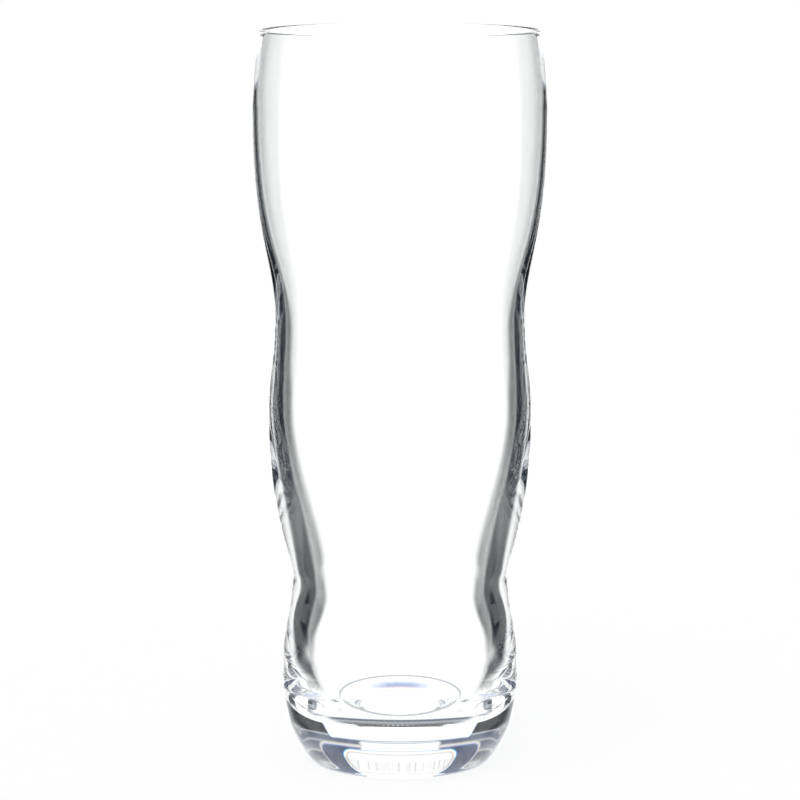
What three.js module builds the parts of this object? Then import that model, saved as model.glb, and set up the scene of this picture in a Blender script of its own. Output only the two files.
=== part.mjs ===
// Beer tumbler of clear pressed glass. It is one piece: a thin rim, a tall waved wall
// that thickens downwards, and a solid foot with a ring that it stands on.
// Millimetres, +Z up, origin at the centre of that ring, on the table.
import * as THREE from "three";

// Outside, from the table up. Each rise is the height above the level before it.
const RING_RADIUS = 22; // outer edge of the flat ring that touches the table
const SEAM_RISE = 11.3; // table to the mould seam round the foot
const SEAM_RADIUS = 29.3;
const FOOT_RISE = 13.7; // seam to the widest level of the foot
const FOOT_RADIUS = 30.7;
const LOW_WAIST_RISE = 23.8;
const LOW_WAIST_RADIUS = 27.9;
const BULGE_RISE = 40.2;
const BULGE_RADIUS = 33.95;
const HIGH_WAIST_RISE = 28;
const HIGH_WAIST_RADIUS = 32.2;
const BELLY_RISE = 51;
const BELLY_RADIUS = 37.7;
const RIM_RISE = 22;
const RIM_RADIUS = 36; // outside of the mouth, where the round of the rim starts
const SEAM_LEAN_BELOW = THREE.MathUtils.degToRad(10.5); // how far the foot leans out under the seam
const SEAM_LEAN_ABOVE = THREE.MathUtils.degToRad(13); // and over it
const RIM_LEAN = THREE.MathUtils.degToRad(9); // how far the wall leans in at the mouth

// Wall thickness, measured level, at the rim and at each level where the inside turns.
const RIM_WALL = 1.15;
const BELLY_WALL = 1;
const HIGH_WAIST_WALL = 2.55;
const BULGE_WALL = 3.5;
const LOW_WAIST_WALL = 5.9;
const FOOT_WALL = 6.4;

// The bowl's floor is a low dome that ends in a crease, where the rounded corner starts.
const FLOOR_THICKNESS = 13.5; // solid glass under the crease
const FLOOR_CROWN = 1.3; // how much higher the middle is
const FLOOR_RADIUS = 16.5; // radius of the crease
const CORNER_SLOPE = THREE.MathUtils.degToRad(15); // how steeply the corner leaves the crease
const CORNER_REACH = 0.47; // share of the way from crease to wall over which it keeps that slope

// How far the inside turns above (+) or below (-) the level where the outside turns.
const BELLY_SHIFT = 3;
const HIGH_WAIST_SHIFT = -3;
const BULGE_SHIFT = 5;
const LOW_WAIST_SHIFT = -0.8;
const FOOT_SHIFT = 4.5;

// Fullness of the waves: at each level where the wall turns, the share of the stretch
// below it and of the stretch above it over which the wall stays near that radius.
const OUTER_HOLDS = {
  seam: { below: 0.24, above: 0.43 },
  foot: { below: 0.44, above: 0.36 },
  lowWaist: { below: 0.26, above: 0.09 },
  bulge: { below: 0.57, above: 0.53 },
  highWaist: { below: 0.45, above: 0.27 },
  belly: { below: 0.6, above: 0.33 },
  rim: { below: 0.33 },
};
const INNER_HOLDS = {
  foot: { below: 0.57, above: 0.5 },
  lowWaist: { below: 0.45, above: 0.19 },
  bulge: { below: 0.46, above: 0.49 },
  highWaist: { below: 0.41, above: 0.3 },
  belly: { below: 0.65, above: 0.33 },
  rim: { below: 0.33 },
};
const CORNER_HOLD = 0.38; // share of the way from ring to seam over which the foot stays level

// Underside: a shallow hollow inside the ring, so that only the ring touches.
const RING_WIDTH = 7.5;
const HOLLOW_DEPTH = 2.9; // at its edge
const HOLLOW_SAG = 0.2; // how much lower the hollow's middle comes
const HOLLOW_LIP = 6.4; // level width of the step up from the ring to the hollow

// Fineness of the facets.
const SIDES = 48;
const LONG_STEPS = 7;
const SHORT_STEPS = 4;
const RIM_STEPS = 6;
const DOME_STEPS = 4;

const point = (radius, height) => new THREE.Vector2(radius, height);

// A stretch of wall between two levels. It leaves each of them upright, or at that
// level's lean, and stays near its radius over the level's hold.
function wave(from, to, fromHold, toHold, { steps = LONG_STEPS, fromLean = 0, toLean = 0 } = {}) {
  const rise = to.y - from.y;
  const fromReach = fromHold * rise;
  const toReach = toHold * rise;
  return new THREE.CubicBezierCurve(
    from,
    point(from.x + fromReach * Math.tan(fromLean), from.y + fromReach),
    point(to.x - toReach * Math.tan(toLean), to.y - toReach),
    to,
  ).getPoints(steps);
}

// A low dome from the axis out to an edge, its middle higher by the crown.
function dome(edgeRadius, edgeHeight, crown) {
  const points = [];
  for (let step = 0; step <= DOME_STEPS; step++) {
    const share = step / DOME_STEPS;
    points.push(point(edgeRadius * share, edgeHeight + crown * (1 - share * share)));
  }
  return points;
}

// Outside, bottom to top.
const ringEdge = point(RING_RADIUS, 0);
const seam = point(SEAM_RADIUS, SEAM_RISE);
const foot = point(FOOT_RADIUS, seam.y + FOOT_RISE);
const lowWaist = point(LOW_WAIST_RADIUS, foot.y + LOW_WAIST_RISE);
const bulge = point(BULGE_RADIUS, lowWaist.y + BULGE_RISE);
const highWaist = point(HIGH_WAIST_RADIUS, bulge.y + HIGH_WAIST_RISE);
const belly = point(BELLY_RADIUS, highWaist.y + BELLY_RISE);
const height = belly.y + RIM_RISE;

// The half round of the rim, turned in by the lean of the wall.
const rimRound = RIM_WALL / 2;
const rim = new THREE.EllipseCurve(
  RIM_RADIUS - rimRound * Math.cos(RIM_LEAN),
  height - rimRound,
  rimRound,
  rimRound,
  RIM_LEAN,
  RIM_LEAN + Math.PI,
).getPoints(RIM_STEPS);

const seamReach = OUTER_HOLDS.seam.below * SEAM_RISE;
const footCorner = new THREE.CubicBezierCurve(
  ringEdge,
  point(RING_RADIUS + CORNER_HOLD * (SEAM_RADIUS - RING_RADIUS), 0),
  point(SEAM_RADIUS - seamReach * Math.tan(SEAM_LEAN_BELOW), seam.y - seamReach),
  seam,
).getPoints(LONG_STEPS);
const outside = [
  footCorner,
  wave(seam, foot, OUTER_HOLDS.seam.above, OUTER_HOLDS.foot.below, {
    steps: SHORT_STEPS,
    fromLean: SEAM_LEAN_ABOVE,
  }),
  wave(foot, lowWaist, OUTER_HOLDS.foot.above, OUTER_HOLDS.lowWaist.below),
  wave(lowWaist, bulge, OUTER_HOLDS.lowWaist.above, OUTER_HOLDS.bulge.below),
  wave(bulge, highWaist, OUTER_HOLDS.bulge.above, OUTER_HOLDS.highWaist.below),
  wave(highWaist, belly, OUTER_HOLDS.highWaist.above, OUTER_HOLDS.belly.below),
  wave(belly, rim[0], OUTER_HOLDS.belly.above, OUTER_HOLDS.rim.below, {
    steps: SHORT_STEPS,
    toLean: -RIM_LEAN,
  }),
];

// Inside, bottom to top: the bowl, then the waves of the cavity. Each level lies its wall
// inwards and its shift up from the outside's.
const insideOf = (level, wall, shift) => point(level.x - wall, level.y + shift);
const innerFoot = insideOf(foot, FOOT_WALL, FOOT_SHIFT);
const innerLowWaist = insideOf(lowWaist, LOW_WAIST_WALL, LOW_WAIST_SHIFT);
const innerBulge = insideOf(bulge, BULGE_WALL, BULGE_SHIFT);
const innerHighWaist = insideOf(highWaist, HIGH_WAIST_WALL, HIGH_WAIST_SHIFT);
const innerBelly = insideOf(belly, BELLY_WALL, BELLY_SHIFT);
const crease = point(FLOOR_RADIUS, FLOOR_THICKNESS);
const cornerReach = CORNER_REACH * (innerFoot.x - crease.x);
const bowlCorner = new THREE.CubicBezierCurve(
  crease,
  point(crease.x + cornerReach, crease.y + cornerReach * Math.tan(CORNER_SLOPE)),
  point(innerFoot.x, innerFoot.y - INNER_HOLDS.foot.below * (innerFoot.y - crease.y)),
  innerFoot,
).getPoints(LONG_STEPS);
const inside = [
  dome(FLOOR_RADIUS, FLOOR_THICKNESS, FLOOR_CROWN),
  bowlCorner,
  wave(innerFoot, innerLowWaist, INNER_HOLDS.foot.above, INNER_HOLDS.lowWaist.below, {
    steps: SHORT_STEPS,
  }),
  wave(innerLowWaist, innerBulge, INNER_HOLDS.lowWaist.above, INNER_HOLDS.bulge.below),
  wave(innerBulge, innerHighWaist, INNER_HOLDS.bulge.above, INNER_HOLDS.highWaist.below, {
    steps: SHORT_STEPS,
  }),
  wave(innerHighWaist, innerBelly, INNER_HOLDS.highWaist.above, INNER_HOLDS.belly.below),
  wave(innerBelly, rim[rim.length - 1], INNER_HOLDS.belly.above, INNER_HOLDS.rim.below, {
    steps: SHORT_STEPS,
    toLean: -RIM_LEAN,
  }),
];

// Underside, from the axis out to the ring's outer edge.
const ringInner = RING_RADIUS - RING_WIDTH;
const hollowRadius = ringInner - HOLLOW_LIP;
const hollowStep = new THREE.CubicBezierCurve(
  point(hollowRadius, HOLLOW_DEPTH),
  point(hollowRadius + 0.55 * HOLLOW_LIP, HOLLOW_DEPTH),
  point(ringInner - 0.3 * HOLLOW_LIP, 0.35 * HOLLOW_DEPTH),
  point(ringInner, 0),
).getPoints(SHORT_STEPS);
const underside = [
  ...dome(hollowRadius, HOLLOW_DEPTH, -HOLLOW_SAG),
  ...hollowStep,
  ringEdge,
];

// One closed outline: underside, up the outside, over the rim, and down the inside.
const outline = [...underside, ...outside.flat(), ...rim, ...inside.flat().reverse()].filter(
  (here, index, all) => index === 0 || here.distanceTo(all[index - 1]) > 1e-6,
);

const glass = new THREE.MeshStandardMaterial({
  color: 0xf4f8f8,
  roughness: 0.02,
  metalness: 0,
  transparent: true,
  opacity: 0.35,
});

const glassBody = new THREE.Mesh(new THREE.LatheGeometry(outline, SIDES), glass);
glassBody.name = "glass_body";
glassBody.rotation.x = Math.PI / 2;

const tumbler = new THREE.Group();
tumbler.add(glassBody);

export default tumbler;
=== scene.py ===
import math
from collections import namedtuple

import bmesh
import bpy
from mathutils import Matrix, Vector
from mathutils.geometry import interpolate_bezier


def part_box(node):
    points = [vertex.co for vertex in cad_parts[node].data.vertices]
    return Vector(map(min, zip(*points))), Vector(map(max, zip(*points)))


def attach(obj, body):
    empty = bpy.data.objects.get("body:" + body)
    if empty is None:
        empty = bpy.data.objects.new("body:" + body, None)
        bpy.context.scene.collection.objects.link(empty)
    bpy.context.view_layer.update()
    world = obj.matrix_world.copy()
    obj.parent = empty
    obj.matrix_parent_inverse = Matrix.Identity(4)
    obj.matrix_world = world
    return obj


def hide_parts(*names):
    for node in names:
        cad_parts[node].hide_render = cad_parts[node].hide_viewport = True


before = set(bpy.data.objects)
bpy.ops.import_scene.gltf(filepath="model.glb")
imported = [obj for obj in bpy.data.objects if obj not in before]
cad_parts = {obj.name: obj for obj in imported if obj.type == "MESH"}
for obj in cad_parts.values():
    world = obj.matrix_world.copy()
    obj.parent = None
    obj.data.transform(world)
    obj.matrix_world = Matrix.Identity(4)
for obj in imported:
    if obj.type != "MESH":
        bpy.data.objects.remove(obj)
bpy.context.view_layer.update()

# The studio. The tumbler stands on a white sweep between black flags, as clear glass is lit
# so that its edges draw dark on white. Only rays that the glass has bent or mirrored see the
# flags. They leave a white gap behind the glass for each side that it is looked at from.
FLAG_COLOUR = (0.020, 0.024, 0.029, 1)
SWEEP_COLOUR = (1, 1, 1, 1)
MAIN_HEADING = 315.0  # degrees from +X to the middle of the widest gap

# Heading in degrees from +X, half-width at the glass in metres, widening per metre, softness
# of the gap's sides at the glass, its growth per metre, and the distance where it starts.
GAP_SIZES = ("Heading", "Half Width", "Widening", "Softness", "Softening", "Start")
WHITE_GAPS = (
    (MAIN_HEADING, 0.041, 0.26, 0.026, 0.05, -0.10),
    (MAIN_HEADING - 90, 0.008, 0.30, 0.038, 0.10, 0.09),
    (MAIN_HEADING - 135, 0.035, 0.24, 0.040, 0.06, 0.048),
    (MAIN_HEADING - 180, 0.035, 0.24, 0.040, 0.06, -0.10),
    (MAIN_HEADING - 225, 0.035, 0.24, 0.040, 0.06, 0.048),
    (MAIN_HEADING - 270, 0.008, 0.30, 0.038, 0.10, 0.09),
)
SOFT_EDGE = (-0.5, 0.5)  # a soft edge reaches half its width to each side of its line


def feed(tree, place, value):
    if isinstance(value, bpy.types.NodeSocket):
        tree.links.new(value, place)
    else:
        place.default_value = value


def calculate(tree, operation, *values):
    node = tree.nodes.new("ShaderNodeMath")
    node.operation = operation
    for place, value in zip(node.inputs, values):
        feed(tree, place, value)
    return node.outputs["Value"]


# How far the value has come from first to last, as a share that runs from low to high.
def share_between(tree, value, first, last, low=0.0, high=1.0, shape="LINEAR"):
    node = tree.nodes.new("ShaderNodeMapRange")
    node.interpolation_type = shape
    names = ("Value", "From Min", "From Max", "To Min", "To Max")
    for name, given in zip(names, (value, first, last, low, high)):
        feed(tree, node.inputs[name], given)
    return node.outputs["Result"]


def blend_colours(tree, share, first, second, way="MIX"):
    node = tree.nodes.new("ShaderNodeMix")
    node.data_type = "RGBA"
    node.blend_type = way
    colours = [place for place in node.inputs if place.type == "RGBA"]
    for place, value in zip([node.inputs["Factor"], *colours], (share, first, second)):
        feed(tree, place, value)
    return [place for place in node.outputs if place.type == "RGBA"][0]


# The vector's parts: X towards the heading, Y to the left of it, and Z up.
def turn_to(tree, vector, heading):
    turned = tree.nodes.new("ShaderNodeVectorRotate")
    turned.rotation_type = "Z_AXIS"
    feed(tree, turned.inputs["Vector"], vector)
    angle = calculate(tree, "MULTIPLY", heading, math.radians(-1))
    feed(tree, turned.inputs["Angle"], angle)
    parts = tree.nodes.new("ShaderNodeSeparateXYZ")
    feed(tree, parts.inputs["Vector"], turned.outputs["Vector"])
    return parts.outputs


def start_group(name, vector, sizes, result, result_kind):
    group = bpy.data.node_groups.new(name, "ShaderNodeTree")
    sockets = [(vector, "INPUT", "NodeSocketVector")]
    sockets += [(size, "INPUT", "NodeSocketFloat") for size in sizes]
    sockets += [(result, "OUTPUT", result_kind)]
    for socket, direction, kind in sockets:
        group.interface.new_socket(name=socket, in_out=direction, socket_type=kind)
    given = group.nodes.new("NodeGroupInput").outputs
    return group, given, group.nodes.new("NodeGroupOutput").inputs[result]


def place_group(tree, group, *values):
    node = tree.nodes.new("ShaderNodeGroup")
    node.node_tree = group
    for place, value in zip(node.inputs, values):
        feed(tree, place, value)
    return node.outputs[0]


def make_gap_group():
    group, given, mask = start_group("white_gap", "Point", GAP_SIZES, "Mask", "NodeSocketFloat")
    parts = turn_to(group, given["Point"], given["Heading"])
    aside = calculate(group, "ABSOLUTE", parts["Y"])
    ahead = calculate(group, "MAXIMUM", parts["X"], 0)
    width = calculate(group, "MULTIPLY_ADD", ahead, given["Widening"], given["Half Width"])
    soft = calculate(group, "MULTIPLY_ADD", ahead, given["Softening"], given["Softness"])
    inside = calculate(group, "DIVIDE", calculate(group, "SUBTRACT", width, aside), soft)
    past_start = calculate(group, "SUBTRACT", parts["X"], given["Start"])
    started = calculate(group, "DIVIDE", past_start, given["Softness"])
    masks = []
    for value in (inside, started):
        masks.append(share_between(group, value, *SOFT_EDGE, shape="SMOOTHSTEP"))
    feed(group, mask, calculate(group, "MULTIPLY", *masks))
    return group


def make_studio_group():
    group, given, colour = start_group("studio", "Point", (), "Color", "NodeSocketColor")
    gap_group = make_gap_group()
    white = 0.0
    for gap in WHITE_GAPS:
        mask = place_group(group, gap_group, given["Point"], *gap)
        white = calculate(group, "MAXIMUM", mask, white)
    feed(group, colour, blend_colours(group, white, FLAG_COLOUR, SWEEP_COLOUR))
    return group


studio = make_studio_group()

# The floor. A wide white table top that runs out of sight, matt, so that it keeps the
# tumbler's soft shadow. The glass sees the studio's flags and gaps on it instead.
FLOOR_RADIUS = 6.0
FLOOR_SIDES = 96
FLOOR_COLOUR = (0.8, 0.8, 0.8, 1)
SHADOW_SHARE = 0.3  # part of the floor's white that real light makes; the rest glows
THROUGH_GLASS = 1.25  # two walls of glass keep back a fifth of the light behind them

# What the foot's glass gathers from the table close to it, by distance from the axis, all painted
# into the table's colour: the ring's painted shade on the side away from the widest gap, and on
# the side towards that gap a thin painted dark line and a painted blue patch with an orange
# fringe.
TABLE_REACH = 0.060  # all of it lies within this distance
SIDE_CHANGE = (0.004, -0.003)  # where one side gives way, along the main heading
PATCH_WIDTH = (0.0105, 0.0030)  # where the patch fades, across that heading
LINE_STRETCH = 1.8  # the line is that much longer along the main heading than across it
# painted shade of the ring on the table, by distance from the axis
RING_SHADE = (
    (0.0105, (1, 1, 1, 1)),
    (0.0120, (0.07, 0.07, 0.075, 1)),
    (0.0145, (0.10, 0.105, 0.115, 1)),
    (0.0165, (0.20, 0.21, 0.23, 1)),
    (0.0190, (0.36, 0.37, 0.40, 1)),
    (0.0204, (0.09, 0.105, 0.15, 1)),
    (0.0214, (0.10, 0.12, 0.16, 1)),
    (0.0230, (1, 1, 1, 1)),
)
# a thin painted dark line on the table, seen only through the glass
FAR_LINE = (
    (0.0385, (1, 1, 1, 1)),
    (0.0410, (0.25, 0.27, 0.32, 1)),
    (0.0435, (1, 1, 1, 1)),
)
# a painted blue patch with an orange fringe on the table, colours that the glass splits off
BLUE_PATCH = (
    (0.0140, (1, 1, 1, 1)),
    (0.0155, (1, 0.72, 0.45, 1)),
    (0.0170, (0.16, 0.25, 0.60, 1)),
    (0.0190, (0.04, 0.07, 0.26, 1)),
    (0.0220, (0.30, 0.45, 1, 1)),
    (0.0240, (1, 1, 1, 1)),
)

scene = bpy.context.scene


def make_piece(name, form):
    mesh = bpy.data.meshes.new(name)
    form.to_mesh(mesh)
    form.free()
    piece = bpy.data.objects.new(name, mesh)
    scene.collection.objects.link(piece)
    return piece


# Colours by value, from stops that lie between 0 and the reach.
def ramp_colours(tree, value, stops, reach):
    node = tree.nodes.new("ShaderNodeValToRGB")
    elements = node.color_ramp.elements
    elements.remove(elements[1])
    first_position, first_colour = stops[0]
    elements[0].position = first_position / reach
    elements[0].color = first_colour
    for position, colour in stops[1:]:
        elements.new(position / reach).color = colour
    feed(tree, node.inputs["Fac"], calculate(tree, "DIVIDE", value, reach))
    return node.outputs["Color"]


def change_vector(tree, operation, vector):
    node = tree.nodes.new("ShaderNodeVectorMath")
    node.operation = operation
    feed(tree, node.inputs[0], vector)
    return node


def mix_shaders(tree, share, first, second):
    node = tree.nodes.new("ShaderNodeMixShader")
    for place, value in zip(node.inputs, (share, first, second)):
        feed(tree, place, value)
    return node.outputs["Shader"]


def seen_through_glass(tree):
    path = tree.nodes.new("ShaderNodeLightPath").outputs
    return calculate(tree, "MAXIMUM", path["Is Glossy Ray"], path["Is Transmission Ray"])


floor_form = bmesh.new()
bmesh.ops.create_circle(floor_form, cap_ends=True, segments=FLOOR_SIDES, radius=FLOOR_RADIUS)
floor = make_piece("floor", floor_form)

paper = bpy.data.materials.new("white_sweep")
paper.use_nodes = True
tree = paper.node_tree
tree.nodes.clear()
matt = tree.nodes.new("ShaderNodeBsdfDiffuse")
matt.inputs["Color"].default_value = FLOOR_COLOUR
glow = tree.nodes.new("ShaderNodeEmission")
glow.inputs["Color"].default_value = SWEEP_COLOUR
path = tree.nodes.new("ShaderNodeLightPath").outputs
glow_share = calculate(tree, "MULTIPLY", path["Is Camera Ray"], 1 - SHADOW_SHARE)
bare_table = mix_shaders(tree, glow_share, matt.outputs["BSDF"], glow.outputs["Emission"])

point = tree.nodes.new("ShaderNodeTexCoord").outputs["Object"]
parts = turn_to(tree, point, MAIN_HEADING)
aside = calculate(tree, "ABSOLUTE", parts["Y"])
away = share_between(tree, parts["X"], *SIDE_CHANGE)
towards = calculate(tree, "SUBTRACT", 1, away)
in_patch = calculate(tree, "MULTIPLY", towards, share_between(tree, aside, *PATCH_WIDTH))
from_axis = change_vector(tree, "LENGTH", point).outputs["Value"]
stretched = calculate(tree, "MULTIPLY", aside, LINE_STRETCH)
squares = [calculate(tree, "MULTIPLY", value, value) for value in (parts["X"], stretched)]
line_distance = calculate(tree, "SQRT", calculate(tree, "ADD", *squares))
table = place_group(tree, studio, point)
# Painted shade, a painted dark line and a painted blue patch, multiplied into the table's colour
# that only the glass sees.
for share, distance, stops in (
    (away, from_axis, RING_SHADE),
    (towards, line_distance, FAR_LINE),
    (in_patch, from_axis, BLUE_PATCH),
):
    shade = ramp_colours(tree, distance, stops, TABLE_REACH)
    table = blend_colours(tree, share, table, shade, "MULTIPLY")
shown = tree.nodes.new("ShaderNodeEmission")
shown.inputs["Strength"].default_value = THROUGH_GLASS
feed(tree, shown.inputs["Color"], table)
surface = mix_shaders(tree, seen_through_glass(tree), bare_table, shown.outputs["Emission"])
feed(tree, tree.nodes.new("ShaderNodeOutputMaterial").inputs["Surface"], surface)
floor.data.materials.append(paper)

# The room beyond the floor: white to the camera, soft light for everything matt, and to the
# glass the same flags and gaps under a grey-white ceiling. The foot's underside mirrors what
# stands low in it: bands of shade, a wide low board, and a framed window with faint streaks.
ROOM_DISTANCE = 50.0  # far enough that only the direction counts
SOFT_LIGHT = (0.5, 0.5, 0.5, 1)

# Colours by height over the horizon in degrees: of the dark parts, and what the gaps are
# multiplied by. These bands rise to both sides of the main heading with the bearing's square.
BAND_BEND = 0.0025
BAND_BEARING = 55.0  # degrees aside; beyond it the bands stay level
BAND_TOP = 50.0
DARK_BANDS = (
    (5.6, FLAG_COLOUR),
    (6.1, (0.42, 0.45, 0.50, 1)),
    (7.0, (0.085, 0.105, 0.150, 1)),
    (9.0, (0.11, 0.135, 0.19, 1)),
    (10.0, (0.38, 0.40, 0.44, 1)),
    (11.0, (0.09, 0.11, 0.16, 1)),
    (15.0, (0.18, 0.20, 0.25, 1)),
    (16.5, (0.50, 0.50, 0.52, 1)),
    (17.7, (0.12, 0.14, 0.20, 1)),
    (22.0, (0.24, 0.265, 0.31, 1)),
    (24.0, (0.60, 0.60, 0.61, 1)),
    (25.5, (0.16, 0.18, 0.24, 1)),
    (33.0, (0.34, 0.37, 0.41, 1)),
    (48.0, (0.90, 0.91, 0.93, 1)),
)
GAP_BANDS = (
    (6.3, (1, 1, 1, 1)),
    (7.0, (0.42, 0.45, 0.52, 1)),
    (7.7, (1, 1, 1, 1)),
    (8.6, (0.78, 0.79, 0.81, 1)),
    (10.6, (0.82, 0.83, 0.84, 1)),
    (11.4, (1, 1, 1, 1)),
    (12.3, (1, 1, 1, 1)),
    (12.8, (0.45, 0.47, 0.55, 1)),
    (13.4, (0.93, 0.94, 0.95, 1)),
    (22.0, (0.95, 0.96, 0.97, 1)),
    (25.0, (0.30, 0.33, 0.40, 1)),
    (26.5, (0.85, 0.86, 0.88, 1)),
    (30.0, (1, 1, 1, 1)),
    (48.0, (0.90, 0.91, 0.93, 1)),
)

# Boards in the room, in degrees: middle's height over the horizon, half-width, half-height,
# radius of the corners, width of the edge, narrowing for each degree upwards. They stand
# lower in the middle than at their sides. Each has the colours that glass splits off across
# its edge, from outside to inside; towards the main heading these fade to grey.
BOARD_BEND = 0.0035
BOARD_SIZES = ("Height", "Half Width", "Half Height", "Rounding", "Edge", "Taper")
EDGE_COVER = 8  # a board hides what is behind it over the first eighth of its edge
FADE_BEARINGS = (9.0, 22.0)
LEAST_COLOUR = 0.25  # share of the colours that is left at the main heading
LOW_BOARD_COLOURS = (
    (0.0, FLAG_COLOUR),
    (0.3, (0.40, 0.52, 0.78, 1)),
    (0.6, (0.85, 0.93, 1, 1)),
    (0.8, (1, 0.93, 0.82, 1)),
    (1.0, SWEEP_COLOUR),
)
FRAME_COLOURS = (
    (0.0, (0.22, 0.24, 0.29, 1)),
    (0.25, (0.48, 0.46, 0.45, 1)),
    (0.4, (0.72, 0.62, 0.52, 1)),
    (0.55, (0.42, 0.50, 0.66, 1)),
    (0.75, (0.085, 0.14, 0.30, 1)),
    (1.0, (0.040, 0.060, 0.115, 1)),
)
WINDOW_COLOURS = (
    (0.0, (0.045, 0.070, 0.150, 1)),
    (0.12, (0.10, 0.28, 0.65, 1)),
    (0.24, (0.45, 0.80, 0.95, 1)),
    (0.34, (1, 0.98, 0.88, 1)),
    (0.46, (0.95, 0.62, 0.38, 1)),
    (0.58, (0.50, 0.50, 0.56, 1)),
    (0.75, (0.80, 0.81, 0.84, 1)),
    (1.0, SWEEP_COLOUR),
)
LOW_BOARD = ((1.8, 31.5, 4.2, 1.0, 1.2, 0.40), LOW_BOARD_COLOURS)
FRAME = ((18.3, 39.5, 8.5, 7.5, 3.0, 0.40), FRAME_COLOURS)
WINDOW = ((18.9, 23.5, 6.2, 5.0, 3.4, 0.25), WINDOW_COLOURS)

# Faint upright streaks in the window's light, by noise along the level direction.
STREAK_SCALE = 55.0
STREAK_NOISE = (0.35, 0.60)
STREAK_LIGHT = (0.58, 0.90)  # share of the light left where they are darkest and palest
STREAK_FOOT = (15.5, 17.5)  # degrees of height over which they come in, going up
STREAK_HEAD = (24.5, 22.5)  # and going down from their upper ends


def find_angles(tree, direction):
    parts = turn_to(tree, direction, MAIN_HEADING)
    bearing = calculate(tree, "DEGREES", calculate(tree, "ARCTAN2", parts["Y"], parts["X"]))
    height = calculate(tree, "DEGREES", calculate(tree, "ARCSINE", parts["Z"]))
    return calculate(tree, "ABSOLUTE", bearing), height


def bend(tree, height, bearing, rate):
    square = calculate(tree, "MULTIPLY", bearing, bearing)
    return calculate(tree, "SUBTRACT", height, calculate(tree, "MULTIPLY", square, rate))


def make_board_group():
    group, given, mask = start_group("board", "Direction", BOARD_SIZES, "Mask", "NodeSocketFloat")
    bearing, height = find_angles(group, given["Direction"])
    height = bend(group, height, bearing, BOARD_BEND)
    over_middle = calculate(group, "SUBTRACT", height, given["Height"])
    over_foot = calculate(group, "ADD", over_middle, given["Half Height"])
    narrowing = calculate(group, "MULTIPLY", over_foot, given["Taper"])
    across = calculate(group, "ADD", bearing, calculate(group, "MAXIMUM", narrowing, 0))
    upwards = calculate(group, "ABSOLUTE", over_middle)
    squares = []
    for value, size in ((across, given["Half Width"]), (upwards, given["Half Height"])):
        straight = calculate(group, "SUBTRACT", size, given["Rounding"])
        past = calculate(group, "MAXIMUM", calculate(group, "SUBTRACT", value, straight), 0)
        squares.append(calculate(group, "MULTIPLY", past, past))
    corner_distance = calculate(group, "SQRT", calculate(group, "ADD", *squares))
    depth = calculate(group, "SUBTRACT", given["Rounding"], corner_distance)
    edge_share = calculate(group, "DIVIDE", depth, given["Edge"])
    feed(group, mask, share_between(group, edge_share, *SOFT_EDGE))
    return group


board_group = make_board_group()


def hang_board(tree, direction, colourfulness, behind, board):
    sizes, colours = board
    mask = place_group(tree, board_group, direction, *sizes)
    cover = calculate(tree, "MINIMUM", calculate(tree, "MULTIPLY", mask, EDGE_COVER), 1)
    faded = tree.nodes.new("ShaderNodeHueSaturation")
    feed(tree, faded.inputs["Saturation"], colourfulness)
    feed(tree, faded.inputs["Color"], ramp_colours(tree, mask, colours, 1))
    return blend_colours(tree, cover, behind, faded.outputs["Color"])


room = bpy.data.worlds.new("room")
scene.world = room
room.use_nodes = True
tree = room.node_tree
tree.nodes.clear()
direction = tree.nodes.new("ShaderNodeTexCoord").outputs["Generated"]
level = change_vector(tree, "MULTIPLY", direction)
level.inputs[1].default_value = (1, 1, 0)
unit = change_vector(tree, "NORMALIZE", level.outputs["Vector"])
far_point = change_vector(tree, "SCALE", unit.outputs["Vector"])
far_point.inputs["Scale"].default_value = ROOM_DISTANCE
flags_and_gaps = place_group(tree, studio, far_point.outputs["Vector"])

bearing, height = find_angles(tree, direction)
colourfulness = share_between(tree, bearing, *FADE_BEARINGS, low=LEAST_COLOUR)
height = bend(tree, height, calculate(tree, "MINIMUM", bearing, BAND_BEARING), BAND_BEND)
dark = ramp_colours(tree, height, DARK_BANDS, BAND_TOP)
dark = hang_board(tree, direction, colourfulness, dark, FRAME)
gap_light = ramp_colours(tree, height, GAP_BANDS, BAND_TOP)
gaps = blend_colours(tree, 1.0, flags_and_gaps, gap_light, "MULTIPLY")
walls = blend_colours(tree, 1.0, gaps, dark, "LIGHTEN")
for board in (LOW_BOARD, WINDOW):
    walls = hang_board(tree, direction, colourfulness, walls, board)

streaks = tree.nodes.new("ShaderNodeTexNoise")
streaks.noise_dimensions = "1D"
streaks.inputs["Scale"].default_value = STREAK_SCALE
feed(tree, streaks.inputs["W"], turn_to(tree, direction, MAIN_HEADING)["Y"])
streaked = share_between(tree, streaks.outputs["Fac"], *STREAK_NOISE, *STREAK_LIGHT)
ends = [share_between(tree, height, *heights) for heights in (STREAK_FOOT, STREAK_HEAD)]
walls = blend_colours(tree, calculate(tree, "MULTIPLY", *ends), walls, streaked, "MULTIPLY")

path = tree.nodes.new("ShaderNodeLightPath").outputs
in_glass = seen_through_glass(tree)
seen = blend_colours(tree, in_glass, SOFT_LIGHT, walls)
seen = blend_colours(tree, path["Is Camera Ray"], seen, SWEEP_COLOUR)
background = tree.nodes.new("ShaderNodeBackground")
feed(tree, background.inputs["Color"], seen)
strength = calculate(tree, "MULTIPLY_ADD", in_glass, THROUGH_GLASS - 1, 1)
feed(tree, background.inputs["Strength"], strength)
output = tree.nodes.new("ShaderNodeOutputWorld")
feed(tree, output.inputs["Surface"], background.outputs["Background"])

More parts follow.
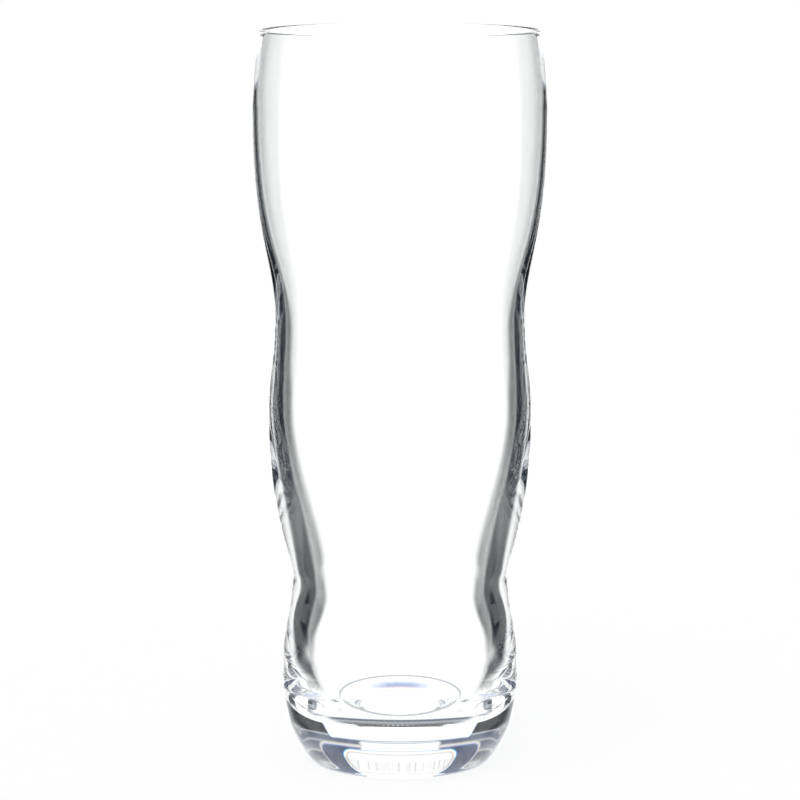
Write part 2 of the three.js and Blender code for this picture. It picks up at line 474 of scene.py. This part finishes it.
# The tumbler's body: one piece of clear soda-lime glass, pressed in a mould with its thick
# foot and drawn thinner towards the mouth, whose rim is melted round. Nothing is fixed to it.
RING_RADIUS = 0.0220  # outer edge of the flat ring that it stands on
RING_WIDTH = 0.0075
NOTCHED = (0.0158, 0.0205)  # band of the ring that carries fine radial notches
NOTCH_DEPTH = 0.00012
LIP_WIDTH = 0.0064  # level width of the step up from the ring to the hollow inside it
LIP_HOLD = 0.55  # share of that width over which the step stays level with the hollow
LIP_LEAN = (0.30, 0.35)  # how far in and up it leans at the ring, as shares of its own size
HOLLOW_DEPTH = 0.0029  # at the hollow's edge
HOLLOW_SAG = 0.0002  # how much lower the hollow's middle comes
CORNER_HOLD = 0.38  # share of the way from ring to seam over which the foot stays level
SEAM_LEAN_BELOW = math.radians(10.5)  # how far the foot leans out under the mould's seam
SEAM_LEAN_ABOVE = math.radians(13)  # and over it
CREASE_RADIUS = 0.0165  # the bowl's floor is a low dome that ends in this crease
CREASE_HEIGHT = 0.0135
DOME_CROWN = 0.0013  # how much higher the dome's middle is
BOWL_SLOPE = math.radians(15)  # how steeply the bowl's corner leaves the crease
BOWL_REACH = 0.47  # share of the way from crease to wall over which it keeps that slope
RIM_RADIUS = 0.0360  # outside of the mouth, where the round of the rim starts
RIM_WALL = 0.00115
RIM_LEAN = math.radians(9)  # how far the wall leans in at the mouth
RIM_HOLD = 0.33

# The levels where the wall turns. Outside: radius, height, and the shares of the stretches
# below and above the level over which the wall stays near that radius. Inside: the wall's
# thickness, how much higher it turns than the outside does, and the same two shares.
Turn = namedtuple("Turn", "radius height hold_below hold_above")
body_low, body_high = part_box("glass_body")
body_height = body_high.z - body_low.z
outer_turns = {
    "seam": Turn(0.0293, 0.0113, 0.24, 0.43),
    "foot": Turn(0.0307, 0.0250, 0.44, 0.36),
    "low_waist": Turn(0.0279, 0.0488, 0.26, 0.09),
    "bulge": Turn(0.03395, 0.0890, 0.57, 0.53),
    "high_waist": Turn(0.0322, 0.1170, 0.45, 0.27),
    "belly": Turn(body_high.x, 0.1680, 0.60, 0.33),
}
inner_turns = {}
for name, wall, shift, hold_below, hold_above in (
    ("foot", 0.0064, 0.0045, 0.57, 0.50),
    ("low_waist", 0.0059, -0.0008, 0.45, 0.19),
    ("bulge", 0.0035, 0.0050, 0.46, 0.49),
    ("high_waist", 0.00255, -0.0030, 0.41, 0.30),
    ("belly", 0.0010, 0.0030, 0.65, 0.33),
):
    outer = outer_turns[name]
    inner_turns[name] = Turn(outer.radius - wall, outer.height + shift, hold_below, hold_above)

# How finely the outline is drawn and the body is turned from it.
WAVE_STEPS = 22
DOME_STEPS = 12
LIP_STEPS = 8
RIM_STEPS = 20
BODY_SIDES = 256
NOTCH_SIDES = 4  # sides of the circle for each notch and the land beside it
CLOSE = 1e-6  # corners nearer than this are one
SHARP_TURN = math.radians(12)  # where the surface turns more than this, it has a real edge


def side_point(radius, height):
    return Vector((radius, 0, height))


def curve(first, first_handle, last_handle, last, steps):
    return list(interpolate_bezier(first, first_handle, last_handle, last, steps + 1))


# A stretch of wall between two points. It leaves each of them upright or at its lean, and
# stays near its radius over the share of the rise that its hold gives.
def wave(first, last, first_hold, last_hold, first_lean=0.0, last_lean=0.0):
    rise = last.z - first.z
    first_reach = first_hold * rise
    last_reach = last_hold * rise
    first_handle = first + side_point(first_reach * math.tan(first_lean), first_reach)
    last_handle = last - side_point(last_reach * math.tan(last_lean), last_reach)
    return curve(first, first_handle, last_handle, last, WAVE_STEPS)


def waved_wall(turns, rim_end, first_lean=0.0):
    levels = list(turns.values())
    points = []
    lean = first_lean
    for lower, upper in zip(levels, levels[1:]):
        first = side_point(lower.radius, lower.height)
        last = side_point(upper.radius, upper.height)
        points += wave(first, last, lower.hold_above, upper.hold_below, lean)
        lean = 0.0
    top = levels[-1]
    top_point = side_point(top.radius, top.height)
    return points + wave(top_point, rim_end, top.hold_above, RIM_HOLD, lean, -RIM_LEAN)


# A low dome from the axis out to its edge, its middle higher by the crown.
def dome(edge_radius, edge_height, crown):
    shares = [step / DOME_STEPS for step in range(DOME_STEPS + 1)]
    return [side_point(edge_radius * s, edge_height + crown * (1 - s * s)) for s in shares]


rim_round = RIM_WALL / 2
rim_middle = side_point(RIM_RADIUS - rim_round * math.cos(RIM_LEAN), body_height - rim_round)
rim_points = []
for step in range(RIM_STEPS + 1):
    angle = RIM_LEAN + math.pi * step / RIM_STEPS
    rim_points.append(rim_middle + rim_round * side_point(math.cos(angle), math.sin(angle)))

ring_edge = side_point(RING_RADIUS, 0)
seam_turn = outer_turns["seam"]
seam = side_point(seam_turn.radius, seam_turn.height)
seam_reach = seam_turn.hold_below * seam.z
foot_corner = curve(
    ring_edge,
    ring_edge + side_point(CORNER_HOLD * (seam.x - RING_RADIUS), 0),
    seam - side_point(seam_reach * math.tan(SEAM_LEAN_BELOW), seam_reach),
    seam,
    WAVE_STEPS,
)
outside = foot_corner + waved_wall(outer_turns, rim_points[0], SEAM_LEAN_ABOVE)

crease = side_point(CREASE_RADIUS, CREASE_HEIGHT)
bowl_turn = inner_turns["foot"]
bowl_top = side_point(bowl_turn.radius, bowl_turn.height)
bowl_reach = BOWL_REACH * (bowl_top.x - crease.x)
bowl_corner = curve(
    crease,
    crease + side_point(bowl_reach, bowl_reach * math.tan(BOWL_SLOPE)),
    bowl_top - side_point(0, bowl_turn.hold_below * (bowl_top.z - crease.z)),
    bowl_top,
    WAVE_STEPS,
)
inside = dome(CREASE_RADIUS, CREASE_HEIGHT, DOME_CROWN) + bowl_corner
inside += waved_wall(inner_turns, rim_points[-1])

ring_inner = side_point(RING_RADIUS - RING_WIDTH, 0)
hollow_edge = ring_inner + side_point(-LIP_WIDTH, HOLLOW_DEPTH)
lip = curve(
    hollow_edge,
    hollow_edge + side_point(LIP_HOLD * LIP_WIDTH, 0),
    ring_inner + side_point(-LIP_LEAN[0] * LIP_WIDTH, LIP_LEAN[1] * HOLLOW_DEPTH),
    ring_inner,
    LIP_STEPS,
)
notched_ring = [side_point(radius, 0) for radius in NOTCHED]
underside = dome(hollow_edge.x, HOLLOW_DEPTH, -HOLLOW_SAG) + lip + notched_ring
outline = underside + outside + rim_points + inside[::-1]

body_form = bmesh.new()
outline_corners = [body_form.verts.new(point) for point in outline]
outline_edges = [body_form.edges.new(pair) for pair in zip(outline_corners, outline_corners[1:])]
bmesh.ops.spin(
    body_form,
    geom=outline_corners + outline_edges,
    cent=(0, 0, 0),
    axis=(0, 0, 1),
    angle=math.tau,
    steps=BODY_SIDES,
    use_merge=True,
)
bmesh.ops.remove_doubles(body_form, verts=body_form.verts, dist=CLOSE)
for corner in body_form.verts:
    spoke = round(math.atan2(corner.co.y, corner.co.x) * BODY_SIDES / math.tau)
    radius = math.hypot(corner.co.x, corner.co.y)
    on_band = NOTCHED[0] - CLOSE < radius < NOTCHED[1] + CLOSE and corner.co.z < CLOSE
    if on_band and spoke % NOTCH_SIDES < NOTCH_SIDES / 2:
        corner.co.z = NOTCH_DEPTH
bmesh.ops.recalc_face_normals(body_form, faces=body_form.faces)
for face in body_form.faces:
    face.smooth = True
for edge in body_form.edges:
    edge.smooth = edge.calc_face_angle(0) < SHARP_TURN
tumbler_body = make_piece("tumbler_body", body_form)

GLASS_COLOUR = (0.99, 1.0, 0.995, 1)
GLASS_BENDING = 1.5  # index of refraction of soda-lime glass
SHADOW_COLOUR = (0.93, 0.94, 0.94, 1)  # what one surface lets through to the floor

clear_glass = bpy.data.materials.new("clear_glass")
clear_glass.use_nodes = True
tree = clear_glass.node_tree
glass = tree.nodes["Principled BSDF"]
glass.inputs["Base Color"].default_value = GLASS_COLOUR
glass.inputs["Roughness"].default_value = 0.0
glass.inputs["IOR"].default_value = GLASS_BENDING
glass.inputs["Transmission Weight"].default_value = 1.0
shade = tree.nodes.new("ShaderNodeBsdfTransparent")
shade.inputs["Color"].default_value = SHADOW_COLOUR
in_shadow = tree.nodes.new("ShaderNodeLightPath").outputs["Is Shadow Ray"]
surface = mix_shaders(tree, in_shadow, glass.outputs["BSDF"], shade.outputs["BSDF"])
feed(tree, tree.nodes["Material Output"].inputs["Surface"], surface)
tumbler_body.data.materials.append(clear_glass)

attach(tumbler_body, "root")
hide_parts("glass_body")

# The lamp: one broad soft lamp high over the table, as through a big diffuser. The glass
# doesn't mirror it, because the studio's white parts stand for it there.
LAMP_STRENGTH = 2.6
LAMP_SPREAD = math.radians(40)
LAMP_TILT = math.radians(25)
LAMP_SIDE = math.radians(200)
lamp = bpy.data.lights.new("soft_lamp", "SUN")
lamp.energy = LAMP_STRENGTH
lamp.angle = LAMP_SPREAD
lamp_object = bpy.data.objects.new("soft_lamp", lamp)
lamp_object.rotation_euler = (LAMP_TILT, 0, LAMP_SIDE)
lamp_object.visible_glossy = False
lamp_object.visible_transmission = False
scene.collection.objects.link(lamp_object)

# The camera, as far and as high as the ellipses of the rim and the foot show. The glass is
# round, so it may stand at any side of it; here it looks along the main heading.
CAMERA_SIDE = math.radians(MAIN_HEADING - 90)
CAMERA_DISTANCE = 0.91364
CAMERA_HEIGHT = 0.236283
CAMERA_PITCH = math.radians(8.8046)
CAMERA_LENS = 161.21  # millimetres, as is the sensor
CAMERA_SENSOR = 36
CAMERA_REACH = 30  # metres, past the floor's far edge
camera = bpy.data.cameras.new("camera")
camera.lens = CAMERA_LENS
camera.sensor_width = CAMERA_SENSOR
camera.clip_end = CAMERA_REACH
camera_object = bpy.data.objects.new("camera", camera)
camera_object.location = (
    CAMERA_DISTANCE * math.sin(CAMERA_SIDE),
    -CAMERA_DISTANCE * math.cos(CAMERA_SIDE),
    CAMERA_HEIGHT,
)
camera_object.rotation_euler = (math.pi / 2 - CAMERA_PITCH, 0, CAMERA_SIDE)
scene.collection.objects.link(camera_object)
scene.camera = camera_object
scene.view_settings.view_transform = "Standard"

# Light runs round inside the thick wall and foot many times before it leaves them.
GLASS_TURNS = 48
scene.cycles.max_bounces = GLASS_TURNS
scene.cycles.transmission_bounces = GLASS_TURNS
scene.cycles.glossy_bounces = GLASS_TURNS
